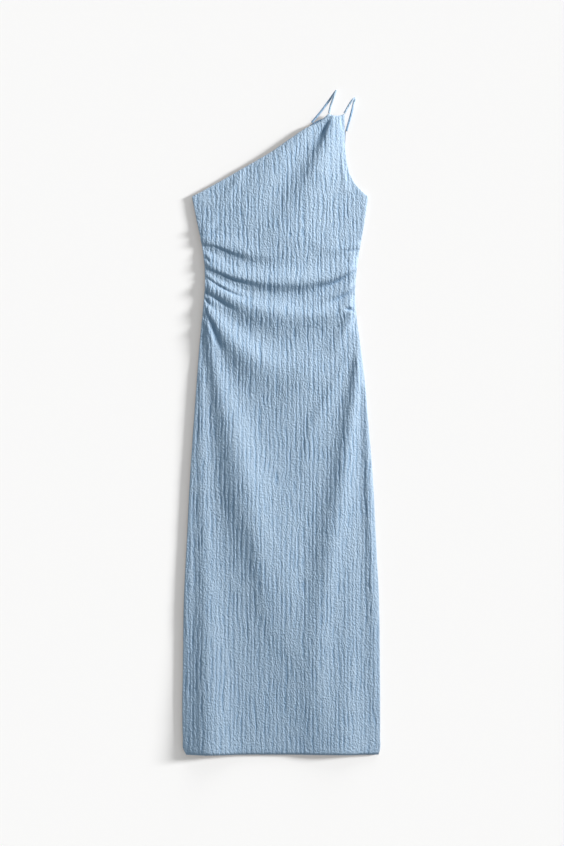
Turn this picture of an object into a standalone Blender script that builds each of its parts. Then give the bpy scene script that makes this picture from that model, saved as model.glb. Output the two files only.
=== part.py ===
# A one-shoulder dress laid flat: a crinkled front panel on a plain back panel, and two thin shoulder straps.
# Metres, +Z up. The dress lies on Z = 0, its hem towards -Y and its shoulder towards +Y.

from collections import namedtuple

import bpy
import numpy as np

MM = 0.001  # the tables and sizes below are in millimetres

HEM_Y = -664.5
UNDERARM_Y = 450.0  # the side seams end here, and the neckline and the armhole begin

WALL = 1.8  # cloth of the front, without the height of its crinkle
BACK_WALL = 1.5
EDGE_HEIGHT = 4.5  # top of the front panel along its seams and edges
PLATEAU_HEIGHT = 4.8  # top of the front panel away from its edges and folds
ROLL_WIDTH = 20.0  # over which the front rises from its edge
FOLD_FADE_WIDTH = 12.0  # over which a fold gains its full height inside the edge
FOLD_AT_EDGE = 0.28  # share of a fold's height left at the edge
CURL_WIDTH = 18.0  # over which the back panel turns up to its side seams
CURL_HEIGHT = 0.9
BACK_INSET = 0.8  # the back panel's edge lies this far inside the front's

RIB_COUNT = 36  # lengthwise ridges of the crinkled cloth
RIB_HEIGHT = 0.55  # of a ridge above, and of a groove below, the cloth's middle
RIB_FULL_SPACING = 4.2  # columns closer than this carry lower ribs

NECKLINE_COLUMNS, SHOULDER_COLUMNS, ARMHOLE_COLUMNS = 56, 6, 10  # together two for each rib
INNER_STEP = 2  # the plain inside has one column for each rib
SKIRT_ROWS, WAIST_ROWS, BODICE_ROWS = 13, 30, 9
SKIRT_TOP_Y, WAIST_TOP_Y = 188.0, 398.0
SKIRT_ROW_GROWTH = 1.18  # each row of the skirt is this much taller than the one above it

BACK_COLUMNS = (14, 4, 4)  # neckline, shoulder and armhole
BACK_ROWS = (12, 5, 7)  # skirt, waist and bodice

STRAP_RADIUS = 2.2
STRAP_STEPS = 54
STRAP_SIDES_SETTING = 2  # bevel resolution

# Sections of the body below the underarms: where its left and right side seams run.
Section = namedtuple("Section", "y left right")
SIDE_SEAMS = (
    Section(-664.5, -190.0, 194.0),
    Section(-655.0, -195.3, 197.0),
    Section(-630.0, -196.8, 197.3),
    Section(-476.0, -196.6, 197.0),
    Section(-356.0, -194.8, 195.2),
    Section(-236.0, -188.8, 189.2),
    Section(-116.0, -182.8, 183.2),
    Section(4.0, -174.8, 173.6),
    Section(84.0, -168.8, 166.8),
    Section(144.0, -164.4, 159.4),
    Section(204.0, -158.8, 151.2),
    Section(244.0, -154.8, 147.8),
    Section(284.0, -152.8, 148.8),
    Section(324.0, -154.8, 153.4),
    Section(364.0, -161.0, 160.0),
    Section(404.0, -169.5, 167.2),
    Section(450.0, -178.8, 173.6),
)

# Edges above the underarms, from the left underarm over the shoulder to the right one.
Point = namedtuple("Point", "x y")
NECKLINE = (
    Point(-178.8, 450.0),
    Point(-126.8, 478.4),
    Point(-70.8, 510.4),
    Point(-16.8, 542.2),
    Point(17.2, 566.0),
    Point(53.2, 589.4),
    Point(70.4, 597.0),
    Point(82.5, 605.5),
    Point(94.5, 616.5),
)
SHOULDER = (  # the short top edge, whose corners the straps are sewn to
    Point(94.5, 616.5),
    Point(102.5, 612.8),
    Point(111.0, 611.8),
    Point(119.5, 613.2),
    Point(126.3, 616.0),
)
ARMHOLE = (
    Point(126.3, 616.0),
    Point(126.6, 584.0),
    Point(127.4, 552.0),
    Point(129.6, 528.0),
    Point(134.2, 504.0),
    Point(142.2, 484.0),
    Point(153.2, 469.0),
    Point(173.6, 450.0),
)
# The back panel's own shoulder edge: its left end shows a little above the front's neckline.
BACK_SHOULDER = (
    Point(57.5, 593.2),
    Point(66.0, 599.0),
    Point(76.0, 604.2),
    Point(88.0, 607.0),
    Point(102.0, 604.0),
    Point(117.0, 594.0),
    Point(128.6, 580.5),
)

# Folds of the front panel. Each is a crest through the points given: its height and the widths of its lit and
# its shaded flank stand for the crest's start, middle and end. The lit flank is on the left of the crest's
# direction.
Fold = namedtuple("Fold", "name height lit shaded crest")
FOLDS = (
    Fold("shoulder drape", (6, 11, 5.5), (16, 44, 60), (8, 22, 40),
         ((106, 620), (99, 596), (90, 564), (62, 492), (38, 446), (4, 390))),
    Fold("neckline swell", (4, 6, 3), (12, 30, 40), (16, 34, 40),
         ((61, 596), (29, 564), (-1, 532), (-39, 484), (-71, 428))),
    Fold("neckline tuck", (2.5, 2.5, 1), (10, 12, 14), (9, 10, 12),
         ((-83, 500), (-93, 472), (-119, 444), (-151, 430))),
    Fold("armhole turn", (0.8, 1.6, 1.2), (6, 5, 6), (5, 4, 5),
         ((116, 606), (121, 552), (124, 508), (128, 464))),
    Fold("bust swell", (1.5, 2.5, 2), (34, 40, 40), (16, 22, 18),
         ((-151, 380), (-83, 364), (17, 368), (87, 356))),
    Fold("bust pucker", (3, 2.4, 0.8), (7, 7, 7), (6, 6, 6),
         ((-165, 378), (-147, 388), (-131, 404))),
    Fold("waist fold 1", (3.5, 6, 1.5), (14, 22, 26), (8, 11, 18),
         ((-157, 363), (-121, 351), (-75, 338), (-39, 334), (21, 338))),
    Fold("waist fold 1, right", (0.8, 2, 3), (12, 8, 6), (10, 8, 5),
         ((87, 340), (127, 346), (153, 354))),
    Fold("waist fold 2", (4.5, 9, 10.5), (12, 26, 20), (8, 14, 11),
         ((-155, 320), (-133, 307), (-73, 286), (7, 278), (60, 280), (104, 290), (151, 311))),
    Fold("waist pucker 1", (3, 2, 0.5), (5, 6, 6), (5, 6, 7),
         ((-155, 336), (-139, 328), (-119, 318))),
    Fold("waist pucker 2", (3, 2, 0.6), (5, 6, 6), (5, 6, 7),
         ((-153, 296), (-125, 278), (-71, 254))),
    Fold("waist fold 3", (6, 9.5, 8.5), (10, 23, 13), (9, 34, 16),
         ((-155, 275), (-137, 264), (-112, 253), (-93, 241), (-47, 224), (7, 213), (61, 212), (109, 220),
          (151, 245))),
    Fold("waist fold 3, right", (1, 5, 8), (14, 10, 8), (10, 10, 9),
         ((53, 234), (85, 243), (113, 256), (133, 268), (151, 281))),
    Fold("waist pucker 3", (2.5, 1.5, 0.6), (4, 5, 6), (4, 5, 6),
         ((-153, 252), (-141, 244), (-121, 230))),
    Fold("hip fold, right", (5.5, 6, 3), (7, 9, 12), (9, 12, 18),
         ((155, 232), (144, 217), (134, 200), (107, 152))),
    Fold("hip fold, left", (5, 11, 4), (14, 26, 40), (9, 33, 60),
         ((-157, 234), (-127, 193), (-83, 146), (-47, 121), (-3, 104), (45, 100))),
    Fold("hip swell", (1, 3.6, 3), (30, 26, 20), (40, 34, 20),
         ((17, 98), (73, 108), (117, 144), (141, 176))),
    Fold("hip diagonal 1", (1.2, 3, 1), (12, 26, 30), (8, 16, 20),
         ((97, 160), (65, 132), (29, 84), (5, 24))),
    Fold("hip diagonal 2", (1.4, 3.2, 1), (8, 15, 18), (6, 10, 14),
         ((139, 142), (89, 44), (59, -16), (45, -86))),
    Fold("hip pucker", (2.5, 2, 1), (4, 4, 4), (4, 5, 5),
         ((-155, 202), (-145, 182), (-137, 158))),
    Fold("skirt fold, left", (4, 11.5, 2.6), (12, 42, 56), (7, 34, 44),
         ((-148, 176), (-129, 88), (-101, -36), (-78, -156), (-31, -306), (-7, -436))),
    Fold("skirt swell, left", (1.5, 4, 1), (22, 44, 40), (14, 22, 22),
         ((-87, 14), (-75, -56), (-51, -156), (-31, -246))),
    Fold("skirt side, left", (2, 4.2, 12.5), (8, 20, 44), (7, 18, 34),
         ((-161, 100), (-156, -156), (-152, -276), (-145, -672))),
    Fold("skirt fold, right", (6, 10.5, 5), (8, 26, 40), (8, 30, 42),
         ((161, 168), (145, 48), (123, -106), (91, -300), (73, -440), (83, -672))),
    Fold("skirt side, right", (1, 3, 6), (18, 24, 34), (18, 24, 30),
         ((141, -96), (137, -276), (127, -672))),
    Fold("skirt edge, right", (5, 4, 1.5), (7, 12, 20), (6, 12, 20),
         ((168, 70), (172, 0), (179, -196), (193, -556))),
    Fold("skirt edge, left", (0.6, 1.8, 0.4), (7, 8, 9), (6, 7, 8),
         ((-170, 60), (-184, -196), (-190, -400), (-190, -672))),
    Fold("skirt fold, left inner", (0.6, 2.2, 0.6), (20, 22, 24), (14, 14, 20),
         ((-62, -180), (-44, -290), (-20, -430))),
    Fold("skirt middle", (1, 3, 1), (24, 30, 30), (24, 30, 30),
         ((9, -156), (13, -296), (23, -556))),
)

# Each strap's middle line, from the front panel's corner over its tip to the back panel's corner.
RoutePoint = namedtuple("RoutePoint", "x y z")
NECK_STRAP = (
    RoutePoint(95.2, 616.9, 4.6),
    RoutePoint(98.6, 631.6, 5.2),
    RoutePoint(102.0, 641.4, 6.4),
    RoutePoint(104.8, 649.6, 7.6),
    RoutePoint(107.0, 656.0, 8.0),
    RoutePoint(108.9, 660.8, 6.6),
    RoutePoint(108.7, 661.0, 3.9),
    RoutePoint(105.8, 657.4, 2.6),
    RoutePoint(95.6, 642.8, 2.4),
    RoutePoint(79.0, 620.4, 2.4),
    RoutePoint(60.7, 598.4, 2.5),
)
ARM_STRAP = (
    RoutePoint(125.8, 616.8, 4.6),
    RoutePoint(130.8, 625.6, 5.2),
    RoutePoint(135.4, 633.4, 6.4),
    RoutePoint(139.6, 639.6, 7.6),
    RoutePoint(143.2, 644.2, 8.0),
    RoutePoint(146.2, 646.2, 6.6),
    RoutePoint(146.6, 644.4, 3.9),
    RoutePoint(145.2, 639.8, 2.6),
    RoutePoint(141.2, 622.6, 2.4),
    RoutePoint(135.6, 602.0, 2.4),
    RoutePoint(129.7, 581.5, 2.5),
)

CLOTH_BLUE = (0.36, 0.50, 0.64)
INSIDE_BLUE = (0.27, 0.39, 0.52)


def curve_through(stations, values, query):
    # Cubic between stations, its slope at each the mean of the slopes on either side.
    stations = np.asarray(stations, float)
    values = np.asarray(values, float)
    slopes = np.gradient(values, stations)
    query = np.clip(query, stations[0], stations[-1])
    i = np.clip(np.searchsorted(stations, query, side="right") - 1, 0, len(stations) - 2)
    span = stations[i + 1] - stations[i]
    t = (query - stations[i]) / span
    start = (1 + 2 * t) * (1 - t) ** 2 * values[i] + t * (1 - t) ** 2 * span * slopes[i]
    end = t ** 2 * (3 - 2 * t) * values[i + 1] - t ** 2 * (1 - t) * span * slopes[i + 1]
    return start + end


def smooth_route(points, steps):
    # Points spread along a smooth curve through the ones given.
    points = np.array(points, float)
    run = np.concatenate([[0], np.cumsum(np.linalg.norm(np.diff(points, axis=0), axis=1))])
    query = np.linspace(0, run[-1], steps + 1)
    return np.column_stack([curve_through(run, points[:, k], query) for k in range(points.shape[1])])


def nearest_on(route, x, y):
    # For each place: its distance from the route, how far along that is (0 to 1), and its offset to the left.
    lengths = np.linalg.norm(np.diff(route, axis=0), axis=1)
    run = np.concatenate([[0], np.cumsum(lengths)])
    best = np.full(np.shape(x), np.inf)
    along = np.zeros(np.shape(x))
    left = np.zeros(np.shape(x))
    for (ax, ay), (bx, by), length, start in zip(route[:-1], route[1:], lengths, run):
        ux, uy = (bx - ax) / length, (by - ay) / length
        share = np.clip(((x - ax) * ux + (y - ay) * uy) / length, 0, 1)
        off_x = x - ax - share * length * ux
        off_y = y - ay - share * length * uy
        distance = np.hypot(off_x, off_y)
        closer = distance < best
        best = np.where(closer, distance, best)
        along = np.where(closer, (start + share * length) / run[-1], along)
        left = np.where(closer, ux * off_y - uy * off_x, left)
    return best, along, left


def fold_height(x, y):
    # Every fold's crest falls away on each side as a bell, wide on its lit side and steep on its shaded one.
    total = np.zeros(np.shape(x))
    for fold in FOLDS:
        route = smooth_route(fold.crest, 4 * len(fold.crest))
        distance, along, left = nearest_on(route, x, y)
        height, lit, shaded = (np.interp(along, (0, 0.5, 1), three) for three in fold[1:4])
        lit_share = 0.5 + 0.5 * left / np.maximum(distance, 1e-6)
        width = lit * lit_share + shaded * (1 - lit_share)
        total += height * np.exp(-((distance / width) ** 2))
    return total


def side_seams(y):
    stations = [row.y for row in SIDE_SEAMS]
    left = curve_through(stations, [row.left for row in SIDE_SEAMS], y)
    right = curve_through(stations, [row.right for row in SIDE_SEAMS], y)
    return left, right


def outline():
    # From the hem's left end up the side, over the shoulder and down to the hem's right end.
    y = np.linspace(HEM_Y, UNDERARM_Y, 60)
    left, right = side_seams(y)
    up = np.column_stack([left, y])
    down = np.column_stack([right, y])[::-1]
    parts = [smooth_route(points, 16)[1:] for points in (NECKLINE, SHOULDER, ARMHOLE)]
    return np.vstack([up, *parts, down[1:]])


def top_points(shoulder, columns):
    # Where each column ends: along the neckline, the shoulder's edge and the armhole, evenly on each.
    neck_end, arm_start = shoulder[0], shoulder[-1]
    neckline = [p for p in NECKLINE if p.x < neck_end[0] - 1] + [neck_end]
    armhole = [arm_start] + [p for p in ARMHOLE if p.y < arm_start[1] - 1]
    pieces = (neckline, shoulder, armhole)
    parts = [smooth_route(points, count)[1:] for points, count in zip(pieces, columns)]
    return np.vstack([[neckline[0]], *parts])


def body_rows(skirt_rows, waist_rows, growth):
    # Heights of the sections below the bodice: close at the waist, and wider apart towards the hem.
    steps = growth ** np.arange(skirt_rows)
    skirt = SKIRT_TOP_Y - (SKIRT_TOP_Y - HEM_Y) * np.cumsum(steps) / steps.sum()
    waist = np.linspace(SKIRT_TOP_Y, WAIST_TOP_Y, waist_rows + 1)
    return np.concatenate([skirt[::-1], waist])


def panel_places(shares, top, rows, bodice_rows, inset):
    # x and y of a grid: level sections up to the bodice, then columns that run on to the top edge.
    left, right = side_seams(rows)
    left, right = left + inset, right - inset
    x = left[:, None] + (right - left)[:, None] * shares[None, :]
    y = np.repeat(rows[:, None], len(shares), axis=1)
    rise = np.linspace(0, 1, bodice_rows + 1)[1:, None]
    upper_x = x[-1] + (top[:, 0] - x[-1]) * rise
    upper_y = y[-1] + (top[:, 1] - y[-1]) * rise
    return np.vstack([x, upper_x]), np.vstack([y, upper_y])


def side_loop(rows, columns, column_step):
    # Row and column of each boundary point of a grid, anticlockwise from its first corner.
    bottom = [(0, c) for c in range(0, columns, column_step)]
    right = [(r, columns) for r in range(rows)]
    top = [(rows, c) for c in range(columns, 0, -column_step)]
    left = [(r, 0) for r in range(rows, 0, -1)]
    return bottom + right + top + left


def grid_faces(rows, columns, first):
    # Quads of a grid whose points are numbered row by row from first, facing up.
    across = columns + 1
    corner = (np.arange(rows)[:, None] * across + np.arange(columns)[None, :]).ravel() + first
    return np.column_stack([corner, corner + 1, corner + 1 + across, corner + across]).tolist()


def rim_faces(rows, columns, step, first_inner):
    # Joins the outer grid's boundary to the inner one's, which has one point for each step of columns.
    across, inner_across = columns + 1, columns // step + 1
    loop = side_loop(rows, columns, 1)
    faces = []
    for (r0, c0), (r1, c1) in zip(loop, loop[1:] + loop[:1]):
        outer0, outer1 = r0 * across + c0, r1 * across + c1
        inner0 = first_inner + r0 * inner_across + round(c0 / step)
        inner1 = first_inner + r1 * inner_across + round(c1 / step)
        faces.append((outer0, inner0, inner1, outer1) if inner0 != inner1 else (outer0, inner0, outer1))
    return faces


def plain_inside(smooth):
    # The wall's inside at every second column, lowered where a straight run between two would thin the cloth.
    between = (smooth[:, :-2:2] + smooth[:, 2::2]) / 2 - smooth[:, 1::2] - RIB_HEIGHT
    sag = np.pad(np.clip(between, 0, None), ((0, 0), (1, 1)))
    return smooth[:, ::INNER_STEP] - WALL - np.maximum(sag[:, 1:], sag[:, :-1])


def add_panel(name, x, y, upper, lower, step, material):
    # A closed wall between the upper grid and the lower one, which has one column for each step of the upper.
    rows, columns = x.shape[0] - 1, x.shape[1] - 1
    outer = np.column_stack([x.ravel(), y.ravel(), upper.ravel()])
    inner = np.column_stack([x[:, ::step].ravel(), y[:, ::step].ravel(), lower.ravel()])
    faces = grid_faces(rows, columns, 0)
    faces += [face[::-1] for face in grid_faces(rows, columns // step, len(outer))]
    faces += rim_faces(rows, columns, step, len(outer))
    mesh = bpy.data.meshes.new(name)
    mesh.from_pydata((np.vstack([outer, inner]) * MM).tolist(), [], faces)
    mesh.shade_smooth()
    mesh.set_sharp_from_angle(angle=np.radians(50))
    return add_object(name, mesh, material)


def add_object(name, data, material):
    obj = bpy.data.objects.new(name, data)
    data.materials.append(material)
    bpy.data.collections["one_shoulder_dress"].objects.link(obj)
    return obj


def front_panel(material):
    # Crinkle ribs stand on the outer points only, so the wall is plain inside.
    columns = 2 * RIB_COUNT
    top = top_points(list(SHOULDER), (NECKLINE_COLUMNS, SHOULDER_COLUMNS, ARMHOLE_COLUMNS))
    rows = body_rows(SKIRT_ROWS, WAIST_ROWS, SKIRT_ROW_GROWTH)
    x, y = panel_places(np.linspace(0, 1, columns + 1), top, rows, BODICE_ROWS, 0)
    from_edge = nearest_on(outline(), x, y)[0]
    roll = np.clip(from_edge / ROLL_WIDTH, 0, 1)
    rise = (PLATEAU_HEIGHT - EDGE_HEIGHT) * (1 - (1 - roll) ** 2)
    fade = FOLD_AT_EDGE + (1 - FOLD_AT_EDGE) * np.clip(from_edge / FOLD_FADE_WIDTH, 0, 1)
    smooth = EDGE_HEIGHT + rise + fold_height(x, y) * fade
    spacing = np.gradient(x, axis=1)
    crest = np.where(np.arange(columns + 1) % 2 == 1, 1.0, -1.0)
    crest[[0, -1]] = 0
    ribs = RIB_HEIGHT * crest * np.clip(spacing / RIB_FULL_SPACING, 0, 1)
    return add_panel("front_panel", x, y, smooth + ribs, plain_inside(smooth), INNER_STEP, material)


def back_panel(material):
    # Flat where it rests, and turned up a little towards the side seams.
    top = top_points(list(BACK_SHOULDER), BACK_COLUMNS)
    top[:, 0] = np.clip(top[:, 0], NECKLINE[0].x + BACK_INSET, ARMHOLE[-1].x - BACK_INSET)
    top[1 : BACK_COLUMNS[0], 1] -= BACK_INSET
    rows = body_rows(BACK_ROWS[0], BACK_ROWS[1], SKIRT_ROW_GROWTH)
    turn = np.linspace(0, np.pi, sum(BACK_COLUMNS) + 1)
    x, y = panel_places(0.5 - 0.5 * np.cos(turn), top, rows, BACK_ROWS[2], BACK_INSET)
    left, right = side_seams(y)
    from_side = np.clip(np.minimum(x - left, right - x) / CURL_WIDTH, 0, 1)
    curl = np.where(y < UNDERARM_Y, CURL_HEIGHT * (1 - from_side) ** 2, 0)
    return add_panel("back_panel", x, y, curl + BACK_WALL, curl, 1, material)


def strap(name, route, material):
    # A thin sewn tube along its route, closed at both ends.
    curve = bpy.data.curves.new(name, "CURVE")
    curve.dimensions = "3D"
    curve.bevel_depth = STRAP_RADIUS * MM
    curve.bevel_resolution = STRAP_SIDES_SETTING
    curve.use_fill_caps = True
    points = smooth_route(route, STRAP_STEPS) * MM
    spline = curve.splines.new("POLY")
    spline.points.add(len(points) - 1)
    spline.points.foreach_set("co", np.column_stack([points, np.ones(len(points))]).ravel())
    spline.use_smooth = True
    return add_object(name, curve, material)


def cloth_material(name, colour):
    material = bpy.data.materials.new(name)
    material.use_nodes = True
    shader = material.node_tree.nodes["Principled BSDF"]
    shader.inputs["Base Color"].default_value = (*colour, 1)
    shader.inputs["Roughness"].default_value = 0.85
    shader.inputs["Metallic"].default_value = 0
    return material


def main():
    for obj in list(bpy.data.objects):
        bpy.data.objects.remove(obj, do_unlink=True)
    collection = bpy.data.collections.new("one_shoulder_dress")
    bpy.context.scene.collection.children.link(collection)
    front_panel(cloth_material("front cloth", CLOTH_BLUE))
    back_panel(cloth_material("back cloth", INSIDE_BLUE))
    strap("neck_strap", NECK_STRAP, cloth_material("neck strap cloth", CLOTH_BLUE))
    strap("arm_strap", ARM_STRAP, cloth_material("arm strap cloth", CLOTH_BLUE))


main()
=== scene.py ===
import bpy
import numpy as np
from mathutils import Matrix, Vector


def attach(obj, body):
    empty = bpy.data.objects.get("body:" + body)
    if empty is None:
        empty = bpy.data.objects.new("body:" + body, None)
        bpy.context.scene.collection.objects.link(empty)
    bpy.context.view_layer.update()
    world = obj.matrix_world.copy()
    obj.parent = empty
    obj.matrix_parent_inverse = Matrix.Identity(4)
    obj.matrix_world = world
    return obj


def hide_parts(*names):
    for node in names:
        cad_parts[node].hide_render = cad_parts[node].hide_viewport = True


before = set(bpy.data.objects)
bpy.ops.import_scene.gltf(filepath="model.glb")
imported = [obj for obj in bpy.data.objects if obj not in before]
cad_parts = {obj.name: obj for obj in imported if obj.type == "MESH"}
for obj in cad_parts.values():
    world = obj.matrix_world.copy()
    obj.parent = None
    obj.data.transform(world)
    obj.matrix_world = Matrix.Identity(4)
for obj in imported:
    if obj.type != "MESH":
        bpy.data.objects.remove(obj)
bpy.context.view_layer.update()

mm = 0.001  # tables and sizes are in millimetres, meshes in metres

# What a user would change, the same for all cloth.
dress = {
    "hemY": -664.5,
    "underarmY": 450.0,  # the side seams end here
    "waistY": (188.0, 398.0),  # the gathered waist lies between these
    "shoulder": ((94.5, 616.5), (102.5, 612.8), (111.0, 611.8), (119.5, 613.2), (126.3, 616.0)),
    "sideSeams": (  # y, left, right
        (-664.5, -190.0, 194.0), (-655.0, -195.3, 197.0), (-630.0, -196.8, 197.3), (-476.0, -196.6, 197.0),
        (-356.0, -194.8, 195.2), (-236.0, -188.8, 189.2), (-116.0, -182.8, 183.2), (4.0, -174.8, 173.6),
        (84.0, -168.8, 166.8), (144.0, -164.4, 159.4), (204.0, -158.8, 151.2), (244.0, -154.8, 147.8),
        (284.0, -152.8, 148.8), (324.0, -154.8, 153.4), (364.0, -161.0, 160.0), (404.0, -169.5, 167.2),
        (450.0, -178.8, 173.6),
    ),
    "neckline": ((-178.8, 450.0), (-126.8, 478.4), (-70.8, 510.4), (-16.8, 542.2), (17.2, 566.0),
                 (53.2, 589.4), (70.4, 597.0), (82.5, 605.5), (94.5, 616.5)),
    "armhole": ((126.3, 616.0), (126.6, 584.0), (127.4, 552.0), (129.6, 528.0),
                (134.2, 504.0), (142.2, 484.0), (153.2, 469.0), (173.6, 450.0)),
    "backShoulder": ((57.5, 593.2), (66.0, 599.0), (76.0, 604.2), (88.0, 607.0),
                     (102.0, 604.0), (117.0, 594.0), (128.6, 580.5)),
}

# Folds of the front: name, then height, width of the lit flank and width of the shaded one, each at the start,
# middle and end of the crest, and the crest's points. The lit flank is on the left of the crest's direction.
frontFolds = (
    ("shoulder drape", (6, 11, 5.5), (16, 44, 60), (8, 22, 40),
     ((106, 620), (99, 596), (90, 564), (62, 492), (38, 446), (4, 390))),
    ("neckline swell", (4, 6, 3), (12, 30, 40), (16, 34, 40),
     ((61, 596), (29, 564), (-1, 532), (-39, 484), (-71, 428))),
    ("neckline tuck", (2.5, 2.5, 1), (10, 12, 14), (9, 10, 12),
     ((-83, 500), (-93, 472), (-119, 444), (-151, 430))),
    ("armhole turn", (0.8, 1.6, 1.2), (6, 5, 6), (5, 4, 5),
     ((116, 606), (121, 552), (124, 508), (128, 464))),
    ("bust swell", (1.5, 2.5, 2), (34, 40, 40), (16, 22, 18),
     ((-151, 380), (-83, 364), (17, 368), (87, 356))),
    ("bust pucker", (3, 2.4, 0.8), (7, 7, 7), (6, 6, 6),
     ((-165, 378), (-147, 388), (-131, 404))),
    ("waist fold 1", (3.5, 6, 1.5), (14, 22, 26), (8, 11, 18),
     ((-157, 363), (-121, 351), (-75, 338), (-39, 334), (21, 338))),
    ("waist fold 1, right", (0.8, 2, 3), (12, 8, 6), (10, 8, 5),
     ((87, 340), (127, 346), (153, 354))),
    ("waist fold 2", (4.5, 9, 10.5), (12, 26, 20), (8, 14, 11),
     ((-155, 320), (-133, 307), (-73, 286), (7, 278), (60, 280), (104, 290), (151, 311))),
    ("waist pucker 1", (3, 2, 0.5), (5, 6, 6), (5, 6, 7),
     ((-155, 336), (-139, 328), (-119, 318))),
    ("waist pucker 2", (3, 2, 0.6), (5, 6, 6), (5, 6, 7),
     ((-153, 296), (-125, 278), (-71, 254))),
    ("waist fold 3", (6, 9.5, 8.5), (10, 23, 13), (9, 34, 16),
     ((-155, 275), (-137, 264), (-112, 253), (-93, 241), (-47, 224), (7, 213), (61, 212), (109, 220),
      (151, 245))),
    ("waist fold 3, right", (1, 5, 8), (14, 10, 8), (10, 10, 9),
     ((53, 234), (85, 243), (113, 256), (133, 268), (151, 281))),
    ("waist pucker 3", (2.5, 1.5, 0.6), (4, 5, 6), (4, 5, 6),
     ((-153, 252), (-141, 244), (-121, 230))),
    ("hip fold, right", (5.5, 6, 3), (7, 9, 12), (9, 12, 18),
     ((155, 232), (144, 217), (134, 200), (107, 152))),
    ("hip fold, left", (5, 11, 4), (14, 26, 40), (9, 33, 60),
     ((-157, 234), (-127, 193), (-83, 146), (-47, 121), (-3, 104), (45, 100))),
    ("hip swell", (1, 3.6, 3), (30, 26, 20), (40, 34, 20),
     ((17, 98), (73, 108), (117, 144), (141, 176))),
    ("hip diagonal 1", (1.2, 3, 1), (12, 26, 30), (8, 16, 20),
     ((97, 160), (65, 132), (29, 84), (5, 24))),
    ("hip diagonal 2", (1.4, 3.2, 1), (8, 15, 18), (6, 10, 14),
     ((139, 142), (89, 44), (59, -16), (45, -86))),
    ("hip pucker", (2.5, 2, 1), (4, 4, 4), (4, 5, 5),
     ((-155, 202), (-145, 182), (-137, 158))),
    ("skirt fold, left", (4, 11.5, 2.6), (12, 42, 56), (7, 34, 44),
     ((-148, 176), (-129, 88), (-101, -36), (-78, -156), (-31, -306), (-7, -436))),
    ("skirt swell, left", (1.5, 4, 1), (22, 44, 40), (14, 22, 22),
     ((-87, 14), (-75, -56), (-51, -156), (-31, -246))),
    ("skirt side, left", (2, 4.2, 12.5), (8, 20, 44), (7, 18, 34),
     ((-161, 100), (-156, -156), (-152, -276), (-145, -672))),
    ("skirt fold, right", (6, 10.5, 5), (8, 26, 40), (8, 30, 42),
     ((161, 168), (145, 48), (123, -106), (91, -300), (73, -440), (83, -672))),
    ("skirt side, right", (1, 3, 6), (18, 24, 34), (18, 24, 30),
     ((141, -96), (137, -276), (127, -672))),
    ("skirt edge, right", (5, 4, 1.5), (7, 12, 20), (6, 12, 20),
     ((168, 70), (172, 0), (179, -196), (193, -556))),
    ("skirt edge, left", (0.6, 1.8, 0.4), (7, 8, 9), (6, 7, 8),
     ((-170, 60), (-184, -196), (-190, -400), (-190, -672))),
    ("skirt fold, left inner", (0.6, 2.2, 0.6), (20, 22, 24), (14, 14, 20),
     ((-62, -180), (-44, -290), (-20, -430))),
    ("skirt middle", (1, 3, 1), (24, 30, 30), (24, 30, 30),
     ((9, -156), (13, -296), (23, -556))),
)

# Creases of the hidden back, low because the dress lies on them, written in the same way.
backFolds = (
    ("back drape", (0.6, 1.1, 0.5), (10, 16, 24), (8, 14, 22),
     ((112, 590), (84, 520), (30, 430), (-30, 380))),
    ("back waist 1", (0.9, 1.1, 0.6), (7, 12, 14), (6, 10, 12),
     ((-150, 352), (-90, 334), (-20, 338))),
    ("back waist 2", (0.6, 1.1, 0.9), (10, 14, 8), (9, 10, 7),
     ((-20, 300), (70, 290), (146, 306))),
    ("back waist 3", (0.9, 1.1, 0.7), (7, 13, 14), (7, 11, 12),
     ((-148, 262), (-70, 236), (30, 232))),
    ("back waist 4", (0.5, 1.0, 0.9), (9, 11, 7), (8, 9, 6),
     ((40, 208), (100, 222), (143, 240))),
    ("back hip", (0.8, 1.1, 0.5), (8, 18, 22), (7, 16, 24),
     ((150, 196), (110, 130), (30, 84), (-30, 78))),
    ("back skirt, left", (0.7, 1.1, 0.6), (9, 22, 26), (8, 18, 26),
     ((-152, 150), (-116, 10), (-92, -190), (-80, -420))),
    ("back skirt, right", (0.4, 1.1, 0.9), (12, 22, 26), (12, 20, 28),
     ((96, 20), (112, -200), (98, -640))),
)

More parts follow.
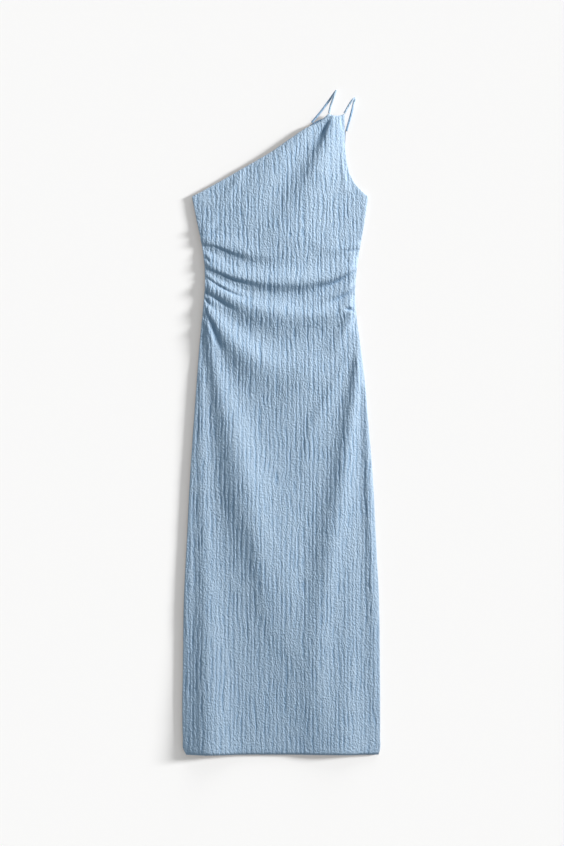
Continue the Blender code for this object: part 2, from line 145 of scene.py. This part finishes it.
# Sharp creases, pressed in where the cloth is gathered: name, depth and width, each at the start, middle and
# end, and the points that the crease runs through.
frontCreases = (
    ("bust", (0.9, 1.8, 0.6), (2.0, 2.2, 3.0),
     ((-157, 371), (-143, 374), (-131, 384), (-124, 396))),
    ("waist 1", (0.9, 2.4, 0.6), (1.8, 2.4, 4.0),
     ((-156, 352), (-137, 351), (-119, 344), (-95, 334), (-75, 327))),
    ("waist 1, short", (1.2, 2.0, 1.0), (2.0, 2.2, 2.0),
     ((-151, 328), (-146, 323), (-143, 318))),
    ("waist 2", (1.2, 3.4, 0.8), (2.0, 2.8, 5.0),
     ((-148, 307), (-119, 294), (-93, 283), (-73, 278), (-47, 272))),
    ("waist 2, lower", (1.2, 3.6, 1.8), (1.7, 2.0, 1.7),
     ((-148, 288), (-127, 273), (-107, 262), (-95, 256), (-79, 251))),
    ("waist 3", (1.2, 3.0, 1.0), (2.4, 4.0, 5.0),
     ((-151, 259), (-137, 251), (-124, 243), (-111, 234), (-92, 224))),
    ("waist 3, lower", (2.6, 2.4, 0.8), (2.0, 2.4, 2.4),
     ((-151, 245), (-145, 236), (-136, 229))),
    ("hip, left", (1.2, 4.4, 2.0), (2.4, 5.2, 6.5),
     ((-152, 225), (-145, 209), (-138, 194), (-131, 174), (-122, 150))),
    ("hip, left, outer", (0.8, 1.8, 0.8), (1.8, 2.0, 2.0),
     ((-153, 200), (-147, 178), (-141, 158))),
    ("hip seam, left", (0.5, 1.0, 0.6), (1.6, 1.8, 1.8),
     ((-153, 220), (-156, 184), (-157, 154))),
    ("waist 1, right", (0.8, 1.8, 1.6), (2.4, 2.0, 1.8),
     ((125, 342), (139, 342), (155, 344))),
    ("waist 1, right, slant", (0.6, 1.1, 0.8), (2.0, 2.2, 2.0),
     ((124, 334), (130, 324), (138, 311))),
    ("waist 2, right", (1.2, 4.2, 1.4), (2.0, 3.4, 5.5),
     ((149, 302), (131, 292), (111, 281), (91, 273), (75, 270))),
    ("waist 3, right", (1.6, 3.6, 0.8), (1.8, 3.6, 5.0),
     ((146, 269), (132, 257), (115, 247), (95, 238))),
    ("hip knot, right", (1.6, 4.2, 2.4), (2.0, 3.4, 2.4),
     ((143, 222), (136, 225), (128, 225))),
    ("hip, right", (1.4, 2.0, 0.6), (1.8, 2.2, 2.2),
     ((144, 209), (131, 198), (119, 188), (109, 192))),
    ("hip, right, upright 1", (0.8, 1.4, 0.6), (2.0, 2.0, 2.0),
     ((114, 222), (117, 208), (119, 194))),
    ("hip, right, upright 2", (0.8, 1.3, 0.6), (2.0, 2.0, 2.0),
     ((122, 220), (124, 210), (125, 200))),
    ("shoulder", (2.8, 4.4, 1.0), (2.6, 4.6, 7.0),
     ((100, 611), (93, 600), (88, 590), (79, 572), (69, 552))),
    ("strap root", (1.2, 1.6, 0.4), (1.5, 1.6, 2.0),
     ((119, 610), (121, 601), (122, 586))),
)

crinkleLook = {
    "pitch": (8.8, 5.7),  # from groove to groove, of the main grooves and of the fine ones between them
    "wander": (0.40, 0.40),  # how far the grooves stray, in pitches
    "wanderCell": ((17.0, 62.0), (11.0, 40.0)),  # size of a stretch that strays together, across and along
    "zigzag": 0.15,
    "zigzagCell": (7.0, 8.5),
    "shallow": (0.15, 0.0),  # depth of the shallowest grooves, and of the deepest
    "deep": (1.20, 0.60),
    "depthCell": ((8.5, 22.0), (6.0, 15.0)),
    "sharpness": 2.2,  # higher makes the grooves narrower
    "lift": 0.45,  # of the ridges above the cloth's middle
    "puckerHeight": 0.26,
    "puckerCell": (3.4, 6.5),
}


# Shapes as functions of x and y.
def curveThrough(stations, values, query):
    # Cubic between stations, its slope at each the mean of the slopes on either side.
    stations = np.asarray(stations, float)
    values = np.asarray(values, float)
    slopes = np.gradient(values, stations)
    query = np.clip(query, stations[0], stations[-1])
    i = np.clip(np.searchsorted(stations, query, side="right") - 1, 0, len(stations) - 2)
    span = stations[i + 1] - stations[i]
    t = (query - stations[i]) / span
    start = (1 + 2 * t) * (1 - t) ** 2 * values[i] + t * (1 - t) ** 2 * span * slopes[i]
    end = t ** 2 * (3 - 2 * t) * values[i + 1] - t ** 2 * (1 - t) * span * slopes[i + 1]
    return start + end


def smoothRoute(points, steps):
    # Points spread evenly along a smooth curve through the ones given.
    points = np.array(points, float)
    run = np.concatenate([[0], np.cumsum(np.linalg.norm(np.diff(points, axis=0), axis=1))])
    query = np.linspace(0, run[-1], steps + 1)
    return np.column_stack([curveThrough(run, points[:, k], query) for k in range(points.shape[1])])


def nearestOn(route, x, y):
    # For each place: its distance from the route, how far along that is (0 to 1), and its offset to the left.
    lengths = np.linalg.norm(np.diff(route, axis=0), axis=1)
    run = np.concatenate([[0], np.cumsum(lengths)])
    best = np.full(np.shape(x), np.inf)
    along = np.zeros(np.shape(x))
    left = np.zeros(np.shape(x))
    for (ax, ay), (bx, by), length, start in zip(route[:-1], route[1:], lengths, run):
        ux, uy = (bx - ax) / length, (by - ay) / length
        share = np.clip(((x - ax) * ux + (y - ay) * uy) / length, 0, 1)
        offX = x - ax - share * length * ux
        offY = y - ay - share * length * uy
        distance = np.hypot(offX, offY)
        closer = distance < best
        best = np.where(closer, distance, best)
        along = np.where(closer, (start + share * length) / run[-1], along)
        left = np.where(closer, ux * offY - uy * offX, left)
    return best, along, left


def foldHeight(folds, x, y):
    # Sum of height * exp(-(distance / width)^2) over the folds. The width goes over from the shaded flank's to
    # the lit flank's across the crest.
    total = np.zeros(np.shape(x))
    for name, heights, lits, shades, crest in folds:
        distance, along, left = nearestOn(smoothRoute(crest, 4 * len(crest)), x, y)
        height, lit, shaded = (np.interp(along, (0, 0.5, 1), three) for three in (heights, lits, shades))
        litShare = 0.5 + 0.5 * left / np.maximum(distance, 1e-6)
        width = lit * litShare + shaded * (1 - litShare)
        total += height * np.exp(-((distance / width) ** 2))
    return total


def creaseDepth(creases, x, y):
    # The deepest of depth * exp(-(distance / width)^2) over the creases.
    deepest = np.zeros(np.shape(x))
    for name, depths, widths, route in creases:
        distance, along, left = nearestOn(smoothRoute(route, 4 * len(route)), x, y)
        depth, width = (np.interp(along, (0, 0.5, 1), three) for three in (depths, widths))
        deepest = np.maximum(deepest, depth * np.exp(-((distance / width) ** 2)))
    return deepest


def drift(x, y, cell, seed):
    # Smooth noise from -1 to 1: random values on a lattice of cells, blended between them by
    # 6t^5 - 15t^4 + 10t^3.
    acrossCells, alongCells = (np.asarray(v, float) / size + 1000 for v, size in zip((x, y), cell))
    values = np.random.default_rng(seed).uniform(-1, 1, (256, 256))
    i, j = np.floor(acrossCells).astype(int), np.floor(alongCells).astype(int)
    u, v = (t ** 3 * (t * (6 * t - 15) + 10) for t in (acrossCells - i, alongCells - j))
    corner = [[values[(i + a) % 256, (j + b) % 256] for b in (0, 1)] for a in (0, 1)]
    low = corner[0][0] * (1 - u) + corner[1][0] * u
    high = corner[0][1] * (1 - u) + corner[1][1] * u
    return low * (1 - v) + high * v


def crinkle(x, y, seed):
    # Height of the crinkled face: lift + puckers - depth * groove for the main and the fine grooves. A groove
    # is (0.5 + 0.5 cos(2 pi phase)) ^ sharpness, and its phase x / pitch and its depth stray with drift. Also
    # gives how deep the place lies in a groove, from 0 to 1, for its shade.
    look = crinkleLook
    height = look["lift"] + look["puckerHeight"] * drift(x, y, look["puckerCell"], seed)
    zigzag = look["zigzag"] * drift(x, y, look["zigzagCell"], seed + 1)
    sunk = np.zeros(np.shape(x))
    for k in (0, 1):
        wander = look["wander"][k] * drift(x, y, look["wanderCell"][k], seed + 2 + k)
        phase = x / look["pitch"][k] + wander + zigzag
        groove = (0.5 + 0.5 * np.cos(2 * np.pi * phase)) ** look["sharpness"]
        share = 0.5 + 0.5 * drift(x, y, look["depthCell"][k], seed + 4 + k)
        sunk += (look["shallow"][k] + (look["deep"][k] - look["shallow"][k]) * share) * groove
    return height - sunk, np.clip(sunk / look["deep"][0], 0, 1)


def sideSeams(y):
    # x of the left and the right seam at height y, each a smooth curve through its stations.
    stations, left, right = zip(*dress["sideSeams"])
    return curveThrough(stations, left, y), curveThrough(stations, right, y)


def outline():
    # From the hem's left end up the side, over the shoulder and down to the hem's right end.
    y = np.linspace(dress["hemY"], dress["underarmY"], 90)
    left, right = sideSeams(y)
    up = np.column_stack([left, y])
    down = np.column_stack([right, y])[::-1]
    parts = [smoothRoute(dress[key], 40)[1:] for key in ("neckline", "shoulder", "armhole")]
    return np.vstack([up, *parts, down[1:]])


def topPoints(shoulder, columns, inset):
    # Where each column ends: along the neckline, the shoulder's edge and the armhole, evenly on each.
    neckEnd, armStart = shoulder[0], shoulder[-1]
    neckline = [p for p in dress["neckline"] if p[0] < neckEnd[0] - 1] + [neckEnd]
    armhole = [armStart] + [p for p in dress["armhole"] if p[1] < armStart[1] - 1]
    parts = [smoothRoute(points, count)[1:] for points, count in zip((neckline, shoulder, armhole), columns)]
    top = np.vstack([[neckline[0]], *parts])
    top[:, 0] = np.clip(top[:, 0], neckline[0][0] + inset, armhole[-1][0] - inset)
    top[1 : columns[0], 1] -= inset
    return top


def panelPlaces(shares, top, rows, bodiceRows, inset):
    # x and y of a grid: level rows up to the bodice, then columns that run on straight to the top edge.
    left, right = sideSeams(rows)
    left, right = left + inset, right - inset
    x = left[:, None] + (right - left)[:, None] * shares[None, :]
    y = np.repeat(rows[:, None], len(shares), axis=1)
    rise = np.linspace(0, 1, bodiceRows + 1)[1:, None]
    return (np.vstack([x, x[-1] + (top[:, 0] - x[-1]) * rise]),
            np.vstack([y, y[-1] + (top[:, 1] - y[-1]) * rise]))


def bodyRows(skirt, waist):
    # Heights of the rows below the bodice, closer together over the gathered waist.
    waistLow, waistHigh = dress["waistY"]
    skirtRows = np.linspace(dress["hemY"], waistLow, skirt + 1)
    return np.concatenate([skirtRows[:-1], np.linspace(waistLow, waistHigh, waist + 1)])


# Meshes.
def gridFaces(rows, columns, first):
    # Quads of a grid whose points are numbered row by row from first, facing up.
    across = columns + 1
    corner = (np.arange(rows)[:, None] * across + np.arange(columns)[None, :]).ravel() + first
    return np.column_stack([corner, corner + 1, corner + 1 + across, corner + across])


def rimLoop(rows, columns):
    # Row and column of each boundary point of a grid, anticlockwise from its first corner.
    r = np.concatenate([np.zeros(columns), np.arange(rows), np.full(columns, rows), np.arange(rows, 0, -1)])
    c = np.concatenate([np.arange(columns), np.full(rows, columns),
                        np.arange(columns, 0, -1), np.zeros(rows)])
    return r.astype(int), c.astype(int)


def shellMesh(name, x, y, upper, lower, steps, upperShade, lowerShade):
    # A closed wall between the upper grid and the lower one, which keeps one row and one column in so many.
    rows, columns = x.shape[0] - 1, x.shape[1] - 1
    rowStep, columnStep = steps
    few = (slice(None, None, rowStep), slice(None, None, columnStep))
    outer = np.column_stack([x.ravel(), y.ravel(), upper.ravel()])
    inner = np.column_stack([x[few].ravel(), y[few].ravel(), lower[few].ravel()])
    r, c = rimLoop(rows, columns)
    outerRim = r * (columns + 1) + c
    innerRim = len(outer) + (r // rowStep) * (columns // columnStep + 1) + c // columnStep
    nextOuter, nextInner = np.roll(outerRim, -1), np.roll(innerRim, -1)
    # A boundary point between two kept ones is joined to the kept one before it, in its own row or column.
    wide = innerRim != nextInner
    quads = np.column_stack([outerRim, innerRim, nextInner, nextOuter])[wide]
    triangles = np.column_stack([outerRim, innerRim, nextOuter])[~wide]
    inside = gridFaces(rows // rowStep, columns // columnStep, len(outer))[:, ::-1]
    faces = np.vstack([gridFaces(rows, columns, 0), inside, quads])
    mesh = bpy.data.meshes.new(name)
    mesh.from_pydata((np.vstack([outer, inner]) * mm).tolist(), [], faces.tolist() + triangles.tolist())
    mesh.shade_smooth()
    # Painted shade per point, which the material turns into a deeper blue.
    shade = mesh.attributes.new("groove", "FLOAT", "POINT")
    values = np.concatenate([upperShade.ravel(), lowerShade[few].ravel()])
    shade.data.foreach_set("value", values.astype(np.float32))
    return mesh


def tubeMesh(name, route, shape, seed):
    # A ring of radius r(angle, run) carried along the route: r = radius * (1 - seam + swell), where seam is a
    # narrow dip along the stitching and swell is smooth noise.
    sides, steps = shape["sides"], shape["steps"]
    points = smoothRoute(route, steps)
    ahead = np.gradient(points, axis=0)
    ahead /= np.linalg.norm(ahead, axis=1)[:, None]
    across = np.cross(ahead, (0, 0, 1))
    across /= np.linalg.norm(across, axis=1)[:, None]
    over = np.cross(across, ahead)
    angle = np.linspace(0, 2 * np.pi, sides, endpoint=False)
    run = np.linspace(0, 1, steps + 1)[:, None] * 100  # in per cent of the strap's length
    seam = np.exp(-((angle - shape["seamAngle"] * np.pi) / shape["seamWidth"]) ** 2)[None, :]
    swell = drift(run + 0 * angle, angle * shape["swellTurns"] + 0 * run, shape["swellCell"], seed)
    r = shape["radius"] * (1 - shape["seamDepth"] * seam + shape["swellHeight"] * swell)
    turn = angle[None, :, None]
    ring = r[..., None] * (np.cos(turn) * across[:, None] + np.sin(turn) * over[:, None])
    places = (points[:, None] + ring).reshape(-1, 3)
    i = np.arange(steps)[:, None] * sides + np.arange(sides)[None, :]
    j = np.arange(steps)[:, None] * sides + (np.arange(sides)[None, :] + 1) % sides
    faces = np.stack([i, j, j + sides, i + sides], axis=-1).reshape(-1, 4).tolist()
    faces += [list(range(sides))[::-1], list(range(steps * sides, (steps + 1) * sides))]
    mesh = bpy.data.meshes.new(name)
    mesh.from_pydata((places * mm).tolist(), [], faces)
    mesh.shade_smooth()
    shade = mesh.attributes.new("groove", "FLOAT", "POINT")
    # Painted shade: along the seam, and on the half that returns to the back panel.
    underneath = np.clip((run - shape["backFrom"]) / shape["backBlend"], 0, 1)
    values = np.clip(shape["seamShade"] * seam + shape["backShade"] * underneath, 0, 1)
    shade.data.foreach_set("value", values.ravel().astype(np.float32))
    return mesh


def addPiece(name, mesh, material, node, group="cloth"):
    piece = bpy.data.objects.new(name, mesh)
    mesh.materials.append(material)
    bpy.data.collections[group].objects.link(piece)
    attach(piece, "root")
    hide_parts(node)
    print(name, len(mesh.polygons), "faces")
    return piece


# Materials.
class Wire:
    # One socket of a material, so that shader maths reads as Python: each operator adds a Math node.
    def __init__(self, paint, socket):
        self.paint = paint
        self.socket = socket

    def math(self, operation, first, second=0.0):
        return self.paint.node("ShaderNodeMath", {"operation": operation}, {0: first, 1: second})

    def __add__(self, other):
        return self.math("ADD", self, other)

    def __radd__(self, other):
        return self.math("ADD", other, self)

    def __sub__(self, other):
        return self.math("SUBTRACT", self, other)

    def __rsub__(self, other):
        return self.math("SUBTRACT", other, self)

    def __mul__(self, other):
        return self.math("MULTIPLY", self, other)

    def __rmul__(self, other):
        return self.math("MULTIPLY", other, self)

    def limited(self):
        return self.paint.node("ShaderNodeClamp", {}, {"Value": self})


class Paint:
    # A material under construction.
    sheenRoughness = 0.5
    specular = 0.25

    def __init__(self, name, roughness, sheen):
        self.material = bpy.data.materials.new(name)
        self.material.use_nodes = True
        self.tree = self.material.node_tree
        self.shader = self.tree.nodes["Principled BSDF"]
        self.shader.inputs["Roughness"].default_value = roughness
        self.shader.inputs["Sheen Weight"].default_value = sheen
        self.shader.inputs["Sheen Roughness"].default_value = self.sheenRoughness
        self.shader.inputs["Specular IOR Level"].default_value = self.specular

    def node(self, kind, settings, inputs, output=0):
        made = self.tree.nodes.new(kind)
        for key, value in settings.items():
            setattr(made, key, value)
        for key, value in inputs.items():
            self.plug(made.inputs[key], value)
        return Wire(self, made.outputs[output])

    def plug(self, socket, value):
        if isinstance(value, Wire):
            self.tree.links.new(value.socket, socket)
        else:
            socket.default_value = value

    def mixed(self, share, first, second):
        return self.node("ShaderNodeMix", {"data_type": "RGBA"}, {0: share, 6: first, 7: second}, 2)

    def place(self, scale):
        # Object coordinates, scaled along each axis.
        coordinates = self.node("ShaderNodeTexCoord", {}, {}, "Object")
        return self.node("ShaderNodeMapping", {}, {"Vector": coordinates, "Scale": scale})

    def noise(self, scale, detail):
        inputs = {"Vector": self.place(scale), "Scale": 1.0, "Detail": detail}
        return self.node("ShaderNodeTexNoise", {}, inputs)

    def bump(self, height, distance, strength):
        inputs = {"Height": height, "Distance": distance, "Strength": strength}
        self.plug(self.shader.inputs["Normal"], self.node("ShaderNodeBump", {}, inputs))


clothLook = {
    "blue": (0.412, 0.512, 0.622),
    # The colour below is painted shade: the deeper blue of the grooves, the creases and the straps' shaded
    # parts.
    "grooveShadeBlue": (0.17, 0.29, 0.44),
    # The colour below is painted shade, over the back panel's inside face and in its underside's grooves.
    "insideShadeBlue": (0.15, 0.235, 0.34),
    "grooveShadeShare": 0.68,
    "roughness": 0.85,
    "sheen": 0.12,
    "puckerHeight": 1.6,  # of the bumps in its face, from the coarsest to the finest
    "slubHeight": 1.5,
    "crepeHeight": 0.2,
    "threadHeight": 0.03,
    "patchTone": 0.20,  # how far each unevenness moves the tone
    "slubTone": 0.35,
    "crepeTone": 0.25,
    "patchScale": (9.0, 6.0, 9.0),  # bumps in a metre, along each axis
    "puckerScale": (390.0, 200.0, 390.0),
    "slubScale": (430.0, 290.0, 430.0),
    "threadScale": (1.0, 420.0, 1.0),
    "crepeScale": (560.0, 330.0, 560.0),
    "strapCrepeScale": (900.0, 900.0, 900.0),
}


def clothMaterial(name, blue, deep, grooveShadeShare, crepeScale):
    # Blue cloth with painted shade, a deeper blue where its groove attribute is high, a little uneven in tone,
    # with a crepe face over a fine plain weave.
    look = clothLook
    paint = Paint(name, look["roughness"], look["sheen"])
    groove = paint.node("ShaderNodeAttribute", {"attribute_name": "groove"}, {}, "Fac")
    patches = paint.noise(look["patchScale"], 3.0)
    puckers = paint.noise(look["puckerScale"], 1.0)
    slubs = paint.noise(look["slubScale"], 1.0)
    fine = paint.noise(crepeScale, 3.0)
    threads = paint.node("ShaderNodeTexWave", {"wave_type": "BANDS", "bands_direction": "Y"},
                         {"Vector": paint.place(look["threadScale"]), "Scale": 1.0, "Distortion": 2.0,
                          "Detail": 1.0}, "Fac")
    # Painted shade from the groove attribute, plus tone that differs at random.
    shadeAndTone = groove * grooveShadeShare + (patches - 0.5) * look["patchTone"]
    shadeAndTone = shadeAndTone + (slubs - 0.5) * look["slubTone"] + (0.5 - fine) * look["crepeTone"]
    # The base colour goes over to the deep colour, which is painted shade.
    colour = paint.mixed(shadeAndTone.limited(), (*blue, 1), (*deep, 1))
    paint.plug(paint.shader.inputs["Base Color"], colour)
    height = puckers * look["puckerHeight"] + slubs * look["slubHeight"] + fine * look["crepeHeight"]
    paint.bump(height + threads * look["threadHeight"], mm, 1.0)
    return paint.material


# Front cloth.
frontShape = {
    "columns": (222, 24, 42),  # along the neckline, the shoulder and the armhole
    "skirtRows": 158,
    "waistRows": 98,
    "bodiceRows": 42,
    "wall": 1.8,
    "lowest": 3.7,  # of a crease's floor, clear of the back
    "creaseShade": 0.25,  # how much painted groove shade a crease of 1 mm takes
    "edgeHeight": 4.5,
    "plateauHeight": 4.8,
    "rollWidth": 20.0,
    "foldFadeWidth": 12.0,
    "foldAtEdge": 0.28,
    "edgeRound": 1.8,  # how far in the cut edge is rounded
    "edgeDrop": 0.45,
    "crinkleFade": 5.0,  # how far in the crinkle gains its full height
    "crinkleAtEdge": 0.25,  # share of its height left at the edge
    "creaseFlattens": 3.0,  # depth of a crease at which the crinkle would be gone
    "crinkleInCrease": 0.3,  # share of its height always left in a crease
    "seed": 11,
}


def frontCloth(material):
    # smooth = edge height + rise * (1 - (1 - r)^2) + folds * fade - creases, where r goes from 0 at the edge
    # to 1. The crinkle stands on it, less of it at the edges and in the creases. The inside is plain.
    shape = frontShape
    columns = sum(shape["columns"])
    top = topPoints(dress["shoulder"], shape["columns"], 0)
    rows = bodyRows(shape["skirtRows"], shape["waistRows"])
    x, y = panelPlaces(np.linspace(0, 1, columns + 1), top, rows, shape["bodiceRows"], 0)
    fromEdge = nearestOn(outline(), x, y)[0]
    roll = np.clip(fromEdge / shape["rollWidth"], 0, 1)
    rise = (shape["plateauHeight"] - shape["edgeHeight"]) * (1 - (1 - roll) ** 2)
    fade = shape["foldAtEdge"] + (1 - shape["foldAtEdge"]) * np.clip(fromEdge / shape["foldFadeWidth"], 0, 1)
    smooth = shape["edgeHeight"] + rise + foldHeight(frontFolds, x, y) * fade
    crease = np.minimum(creaseDepth(frontCreases, x, y), np.clip(smooth - shape["lowest"], 0, None))
    smooth = smooth - crease
    fromHem = y - dress["hemY"]
    near = np.clip(np.minimum(fromEdge, fromHem) / shape["edgeRound"], 0, 1)
    drop = shape["edgeDrop"] * (1 - np.sqrt(1 - (1 - near) ** 2))
    relief, groove = crinkle(x, y, shape["seed"])
    flatter = np.clip(np.minimum(fromEdge, fromHem) / shape["crinkleFade"], shape["crinkleAtEdge"], 1)
    flatter = flatter * np.clip(1 - crease / shape["creaseFlattens"], shape["crinkleInCrease"], 1)
    upper = smooth + relief * flatter - drop
    # Painted shade: darker in the grooves, and in the creases by their depth.
    shade = np.clip(groove * flatter + shape["creaseShade"] * crease, 0, 1)
    mesh = shellMesh("front_cloth", x, y, upper, smooth - shape["wall"], (2, 4), shade, 0 * shade)
    return addPiece("front_cloth", mesh, material, "front_panel")


# Back cloth.
backShape = {
    "columns": (150, 36, 30),
    "skirtRows": 100,
    "waistRows": 46,
    "bodiceRows": 46,
    "wall": 1.5,
    "curlWidth": 18.0,
    "curlHeight": 0.9,
    "inset": 0.8,
    "reliefShare": 0.45,  # of the crinkle's depth that its underside keeps
    "undersideShade": 0.5,
    "seed": 71,
}


def backCloth(material):
    # Underside = curl + creases + crinkle, never below the floor. The top face is curl + creases + wall.
    shape = backShape
    columns = sum(shape["columns"])
    top = topPoints(dress["backShoulder"], shape["columns"], shape["inset"])
    rows = bodyRows(shape["skirtRows"], shape["waistRows"])
    x, y = panelPlaces(np.linspace(0, 1, columns + 1), top, rows, shape["bodiceRows"], shape["inset"])
    left, right = sideSeams(y)
    fromSide = np.clip(np.minimum(x - left, right - x) / shape["curlWidth"], 0, 1)
    curl = np.where(y < dress["underarmY"], shape["curlHeight"] * (1 - fromSide) ** 2, 0)
    creases = foldHeight(backFolds, x, y) * fromSide
    relief, groove = crinkle(x, y, shape["seed"])
    relief = np.clip(crinkleLook["lift"] - relief, 0, None) * shape["reliefShare"]
    under = curl + creases + relief
    # Painted shade: all over the top face, which is the inside of the dress, and in the underside's grooves.
    inside = np.ones(np.shape(x))  # dark throughout
    underside = shape["undersideShade"] * groove
    mesh = shellMesh("back_cloth", x, y, curl + creases + shape["wall"], under, (1, 1), inside, underside)
    return addPiece("back_cloth", mesh, material, "back_panel")


# Straps.
strapShape = {
    "radius": 2.2,
    "sides": 20,
    "steps": 180,
    "seamAngle": 1.25,  # in half turns
    "seamWidth": 0.22,  # radians
    "seamDepth": 0.1,  # as a share of the radius, and so is the swell's height
    "swellHeight": 0.035,
    "swellTurns": 1.2,
    "swellCell": (1.7, 1.3),
    "seamShade": 0.6,
    "backShade": 0.7,  # painted shade on the half that returns to the back panel, which lies in shadow
    "backFrom": 50.0,  # per cent of the length
    "backBlend": 8.0,
    "neck": ((95.2, 616.9, 4.6), (98.6, 631.6, 5.2), (102.0, 641.4, 6.4), (104.8, 649.6, 7.6),
             (107.0, 656.0, 8.0), (108.9, 660.8, 6.6), (108.7, 661.0, 3.9), (105.8, 657.4, 2.6),
             (95.6, 642.8, 2.4), (79.0, 620.4, 2.4), (60.7, 598.4, 2.5)),
    "arm": ((125.8, 616.8, 4.6), (130.8, 625.6, 5.2), (135.4, 633.4, 6.4), (139.6, 639.6, 7.6),
            (143.2, 644.2, 8.0), (146.2, 646.2, 6.6), (146.6, 644.4, 3.9), (145.2, 639.8, 2.6),
            (141.2, 622.6, 2.4), (135.6, 602.0, 2.4), (129.7, 581.5, 2.5)),
}


def strap(name, route, node, seed, material):
    mesh = tubeMesh(name, route, strapShape, seed)
    return addPiece(name, mesh, material, node, "dress")


# Floor, light and camera.
stageLook = {
    "floorWhite": 0.90,
    "floorRoughness": 0.95,
    "floorHalf": 6.0,  # metres, half of its side
    "floorDrop": 0.0004,  # metres, below the dress
    "sky": (0.27, 0.335, 0.38),  # a cool fill, as the cloth's shadows show
    "keyAzimuth": 35.0,  # degrees from +X towards +Y
    "keyElevation": 22.0,
    "keyDistance": 3.6,  # metres
    "keySize": 1.0,
    "keyStrength": 5.6,  # at the dress
    "floorKeys": (  # azimuth, elevation, size and strength of the lights whose shadows the floor shows
        (12.0, 12.2, 8.5, 7.6),
        (70.0, 12.0, 25.0, 1.0),
        (-40.0, 12.0, 25.0, 0.30),
    ),
    "floorFill": 0.61,
    "floorFillColour": (0.98, 0.64, 0.38),  # makes up for the cool sky, so that the floor stays grey
    "frameHeight": 1.692,
    "frameCentre": (0.0012, -0.0020),
    "lens": 85.0,
    "sensor": 36.0,
    "farthest": 50.0,  # metres that the camera sees
}


def direction(azimuth, elevation):
    # Unit vector towards a light, from its two angles in degrees.
    azimuth, elevation = np.radians(azimuth), np.radians(elevation)
    level = np.cos(elevation)
    return Vector((np.cos(azimuth) * level, np.sin(azimuth) * level, np.sin(elevation)))


def addLight(name, data, toward, distance, lit, blockers=None):
    # A light that shines back along toward, on the objects of one collection. Where blockers are given, only
    # they cast its shadows.
    light = bpy.data.objects.new(name, data)
    light.rotation_euler = toward.to_track_quat("Z", "Y").to_euler()
    light.location = toward * distance
    light.light_linking.receiver_collection = lit
    light.light_linking.blocker_collection = blockers
    bpy.context.scene.collection.objects.link(light)
    return light


def addStage():
    look = stageLook
    half = look["floorHalf"]
    corners = [(-half, -half), (half, -half), (half, half), (-half, half)]
    mesh = bpy.data.meshes.new("floor")
    mesh.from_pydata([(x, y, -look["floorDrop"]) for x, y in corners], [], [(0, 1, 2, 3)])
    floor = bpy.data.objects.new("floor", mesh)
    floorGroup = bpy.data.collections.new("floor")
    dressGroup = bpy.data.collections.new("dress")
    clothGroup = bpy.data.collections.new("cloth")  # all of the dress but its straps
    bpy.context.scene.collection.children.link(floorGroup)
    bpy.context.scene.collection.children.link(dressGroup)
    dressGroup.children.link(clothGroup)
    floorGroup.objects.link(floor)
    paint = Paint("plain floor", look["floorRoughness"], 0.0)
    paint.shader.inputs["Base Color"].default_value = (look["floorWhite"],) * 3 + (1,)
    paint.shader.inputs["Specular IOR Level"].default_value = 0.0
    mesh.materials.append(paint.material)

    world = bpy.data.worlds.new("soft studio")
    world.use_nodes = True
    world.node_tree.nodes["Background"].inputs["Color"].default_value = (*look["sky"], 1)
    bpy.context.scene.world = world

    softbox = bpy.data.lights.new("softbox", "AREA")
    softbox.shape = "DISK"
    softbox.size = look["keySize"]
    softbox.energy = look["keyStrength"] * np.pi * look["keyDistance"] ** 2
    toward = direction(look["keyAzimuth"], look["keyElevation"])
    addLight("softbox", softbox, toward, look["keyDistance"], dressGroup)
    for azimuth, elevation, size, strength in look["floorKeys"]:
        floorKey = bpy.data.lights.new("floor key", "SUN")
        floorKey.energy = strength
        floorKey.angle = np.radians(size)
        addLight("floor key", floorKey, direction(azimuth, elevation), look["keyDistance"],
                 floorGroup, clothGroup)
    floorFill = bpy.data.lights.new("floor fill", "SUN")
    floorFill.energy = look["floorFill"]
    floorFill.color = look["floorFillColour"]
    floorFill.use_shadow = False
    addLight("floor fill", floorFill, Vector((0, 0, 1)), look["keyDistance"], floorGroup)

    camera = bpy.data.cameras.new("camera")
    camera.lens = look["lens"]
    camera.sensor_width = look["sensor"]
    camera.clip_end = look["farthest"]
    eye = bpy.data.objects.new("camera", camera)
    eye.location = (*look["frameCentre"], look["frameHeight"] * look["lens"] / look["sensor"])
    bpy.context.scene.collection.objects.link(eye)
    bpy.context.scene.camera = eye
    bpy.context.scene.view_settings.view_transform = "Standard"
    print("floor, light and camera set")


addStage()
look = clothLook
frontMaterial = clothMaterial("crinkled cloth", look["blue"], look["grooveShadeBlue"], look["grooveShadeShare"],
                              look["crepeScale"])
backMaterial = clothMaterial("inside cloth", look["blue"], look["insideShadeBlue"], 1.0, look["crepeScale"])
strapMaterial = clothMaterial("strap cloth", look["blue"], look["grooveShadeBlue"], 1.0, look["strapCrepeScale"])
print("materials made")

back = backCloth(backMaterial)
front = frontCloth(frontMaterial)
neckStrap = strap("neck_strap_tube", strapShape["neck"], "neck_strap", 5, strapMaterial)
armStrap = strap("arm_strap_tube", strapShape["arm"], "arm_strap", 6, strapMaterial)
